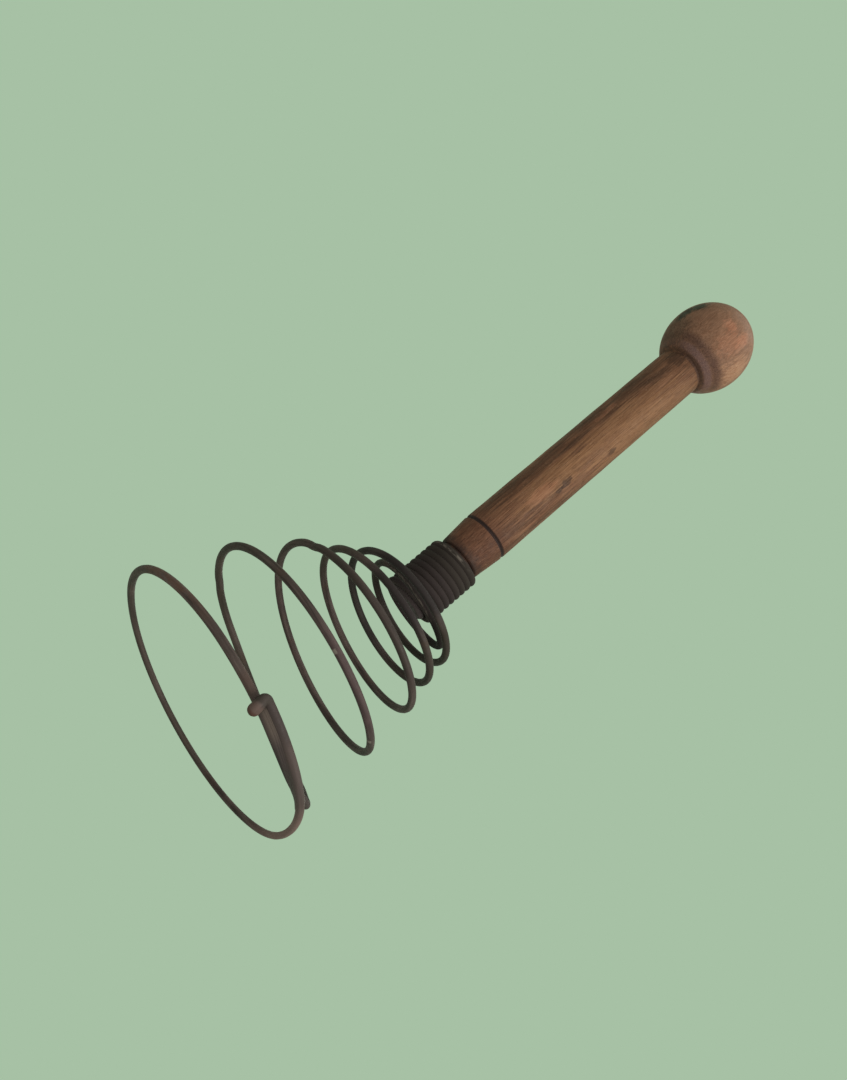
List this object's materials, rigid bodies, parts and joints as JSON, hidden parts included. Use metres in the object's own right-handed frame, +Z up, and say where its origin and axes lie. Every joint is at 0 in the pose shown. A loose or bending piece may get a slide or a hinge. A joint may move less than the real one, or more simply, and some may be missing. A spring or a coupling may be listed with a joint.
{
  "type": "spiral whisk",
  "caption": "Hand whisk with a turned wooden ball-knob handle and a cone of coiled steel wire that closes in a flat clasped ring.",
  "frame": {"origin": "on the surface the whisk stands on, under the middle of its box", "axes": "+Z up from the standing ring to the ball knob; +X the way the handle leans"},
  "size_m": [0.126, 0.0942, 0.2465],
  "materials": {
    "wood": "worn, stained and hand-polished turned hardwood",
    "steel": "old darkened steel wire with light rust"
  },
  "bodies": {
    "wire": {"spiral_wire": "steel"},
    "handle": {"handle": "wood"}
  },
  "joints": [
    {"name": "pump", "type": "slide", "parent": "wire", "child": "handle", "axis": [0, 0, 1], "range_m": [-0.035, 0.01], "stiffness_N_per_m": 245, "springref_m": 0.0017, "deforming": ["spiral_wire"]}
  ]
}
